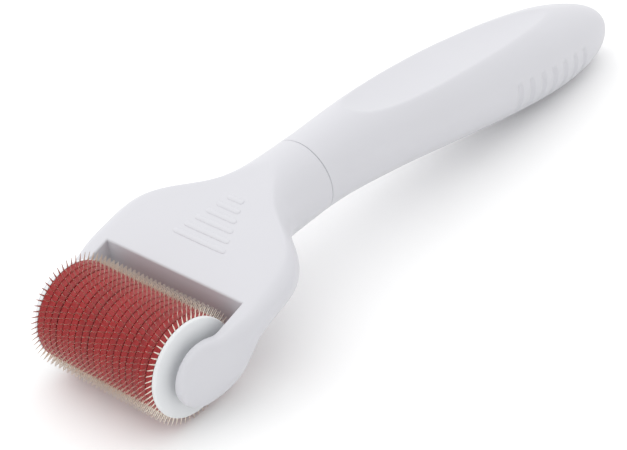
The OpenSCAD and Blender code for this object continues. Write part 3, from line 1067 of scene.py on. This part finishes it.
class SpacerDiscs(bpy.types.Operator):
    """Build the red discs between the needle plates"""

    bl_idname = "roller.spacer_discs"
    bl_label = "Spacer Discs"

    def execute(self, context):
        drum = context.scene.roller_drum
        piece = grow("spacer_discs", disc_tree(), {
            "Rows": len(SPACERS),
            "Pitch": PLATE_T + SPACER_T,
            "Outer": DISC_R,
            "Inner": drum.core_radius,
            "Thickness": SPACER_T,
            "Edge": drum.disc_edge,
            "Thinnest": drum.thinnest,
            "Thickest": drum.thickest,
            "Seed": drum.seed,
            "Axle": tuple(AXIS),
            "Material": finish(red_abs),
        })
        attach(piece, "drum")
        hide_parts(*SPACERS)
        return {"FINISHED"}


class EndCaps(bpy.types.Operator):
    """Build the two white end caps of the drum"""

    bl_idname = "roller.end_caps"
    bl_label = "End Caps"

    def execute(self, context):
        d = context.scene.roller_drum
        rim = d.cap_edge
        turn = np.linspace(0, math.pi / 2, 7)
        profile = [
            (d.bore_radius, STACK_HALF - d.plug_depth), (d.plug_radius, STACK_HALF - d.plug_depth),
            (d.plug_radius, STACK_HALF), (DISC_R, STACK_HALF),
            *[(DISC_R - rim + rim * math.cos(t), d.cap_face - rim + rim * math.sin(t)) for t in turn],
            (DISC_R - 1.6 * MM, d.cap_face), (d.hub_radius + 0.3 * MM, d.cap_face),
            (d.hub_radius, d.cap_face + 0.3 * MM), (d.hub_radius, HUB_FACE - 0.15 * MM),
            (d.hub_radius - 0.15 * MM, HUB_FACE), (d.bore_radius, HUB_FACE),
        ]
        for name, side in (("end_cap_left", -1), ("end_cap_right", 1)):
            shape = lathe([(r, side * x) for r, x in profile])
            cap = make_object("drum_" + name, *shape, finish(cap_abs))
            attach(cap, "drum")
            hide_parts(name)
        repaint("drum_core", finish(inner_abs))
        return {"FINISHED"}


class AxlePin(bpy.types.Operator):
    """Give the axle its ground steel finish"""

    bl_idname = "roller.axle_pin"
    bl_label = "Axle Pin"

    def execute(self, context):
        repaint("axle_pin", finish(axle_steel))
        return {"FINISHED"}


def soft_light(name, place, target, size, power):
    """A square area light at a place, turned to face a target."""
    data = bpy.data.lights.new(name, "AREA")
    data.shape, data.size, data.energy = "SQUARE", size, power
    light = bpy.data.objects.new(name, data)
    light.location = place
    light.rotation_euler = (target - place).to_track_quat("-Z", "Y").to_euler()
    bpy.context.scene.collection.objects.link(light)


class Studio(bpy.types.Operator):
    """Build the floor, the lights and the camera"""

    bl_idname = "roller.studio"
    bl_label = "Studio"

    def execute(self, context):
        scene = context.scene
        stage = scene.roller_stage
        lowest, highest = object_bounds()
        reach = 12 * (highest - lowest).length
        middle_x, middle_y = (lowest.x + highest.x) / 2, (lowest.y + highest.y) / 2
        floor_mesh = bpy.data.meshes.new("studio_floor")
        corners = [(middle_x + u * reach, middle_y + v * reach, 0) for u, v in
                   ((-1, -1), (1, -1), (1, 1), (-1, 1))]
        floor_mesh.from_pydata(corners, [], [(0, 1, 2, 3)])
        floor_mesh.materials.append(finish(studio_paper))
        floor = bpy.data.objects.new("studio_floor", floor_mesh)
        scene.collection.objects.link(floor)
        floor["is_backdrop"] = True

        target = (lowest + highest) / 2
        beside = target + Vector((-0.60, 0.05, 0.60))
        soft_light("key", beside, target, stage.light_size, stage.key_power)
        above = target + Vector((0.05, 0.25, 0.85))
        soft_light("overhead", above, target, stage.light_size, stage.overhead_power)

        world = bpy.data.worlds.new("studio_air")
        world.use_nodes = True
        tree = world.node_tree
        tree.nodes.clear()
        way = add(tree, "ShaderNodeTexCoord").outputs["Generated"]
        lean = add(tree, "ShaderNodeVectorMath", {"operation": "DOT_PRODUCT"}, {
            0: way, 1: tuple(Vector((-0.45, 0.05, 0.9)).normalized()),
        })
        glow = add(tree, "ShaderNodeMapRange", {"interpolation_type": "SMOOTHSTEP"}, {
            "Value": lean.outputs["Value"], "From Min": -0.2, "From Max": 0.9,
            "To Min": stage.shade, "To Max": stage.bright,
        })
        sky = add(tree, "ShaderNodeBackground", None, {"Strength": glow.outputs[0]})
        add(tree, "ShaderNodeOutputWorld", None, {"Surface": sky.outputs[0]})
        scene.world = world
        scene.view_settings.view_transform = "Standard"

        data = bpy.data.cameras.new("studio_camera")
        data.sensor_width, data.lens = 36.0, stage.lens
        data.clip_start, data.clip_end = 0.01, 10.0
        camera = bpy.data.objects.new("studio_camera", data)
        a, e = stage.azimuth, stage.elevation
        back = Vector((math.sin(a) * math.cos(e), -math.cos(a) * math.cos(e), math.sin(e)))
        right = Vector((math.cos(a), math.sin(a), 0))
        up = back.cross(right)
        turned = right * math.cos(stage.roll) + up * math.sin(stage.roll)
        axes = Matrix((turned, back.cross(turned), back)).transposed().to_4x4()
        eye = AXIS + Vector(stage.aim) + back * stage.distance
        camera.matrix_world = Matrix.Translation(eye) @ axes
        scene.collection.objects.link(camera)
        scene.camera = camera
        return {"FINISHED"}


class RollerPanel(bpy.types.Panel):
    """Sidebar panel that lists the roller's operators and sizes"""

    bl_idname = "VIEW3D_PT_derma_roller"
    bl_label = "Derma Roller"
    bl_space_type = "VIEW_3D"
    bl_region_type = "UI"
    bl_category = "Roller"

    def draw(self, context):
        for operator in OPERATORS:
            self.layout.operator(operator.bl_idname)
        for label, group in GROUPS.items():
            sizes = getattr(context.scene, label)
            box = self.layout.box()
            box.label(text=group.__doc__)
            for name in group.__annotations__:
                box.prop(sizes, name)


GROUPS = {
    "roller_head": HeadSizes,
    "roller_bars": RibSizes,
    "roller_plug": PlugSizes,
    "roller_handle": HandleSizes,
    "roller_grooves": GrooveSizes,
    "roller_drum": DrumSizes,
    "roller_finishes": Finishes,
    "roller_stage": StageSizes,
}
OPERATORS = (ForkHead, DeckBars, HandleShells, NeedlePlates, SpacerDiscs, EndCaps, AxlePin, Studio)


def register():
    for group in GROUPS.values():
        bpy.utils.register_class(group)
    for operator in OPERATORS:
        bpy.utils.register_class(operator)
    bpy.utils.register_class(RollerPanel)
    for name, group in GROUPS.items():
        setattr(bpy.types.Scene, name, bpy.props.PointerProperty(type=group))


def unregister():
    for name in GROUPS:
        delattr(bpy.types.Scene, name)
    bpy.utils.unregister_class(RollerPanel)
    for operator in reversed(OPERATORS):
        bpy.utils.unregister_class(operator)
    for group in reversed(list(GROUPS.values())):
        bpy.utils.unregister_class(group)


def main():
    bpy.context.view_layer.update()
    register()
    bpy.ops.roller.fork_head()
    bpy.ops.roller.deck_bars()
    bpy.ops.roller.handle_shells()
    bpy.ops.roller.needle_plates()
    bpy.ops.roller.spacer_discs()
    bpy.ops.roller.end_caps()
    bpy.ops.roller.axle_pin()
    bpy.ops.roller.studio()


if __name__ == "__main__":
    main()
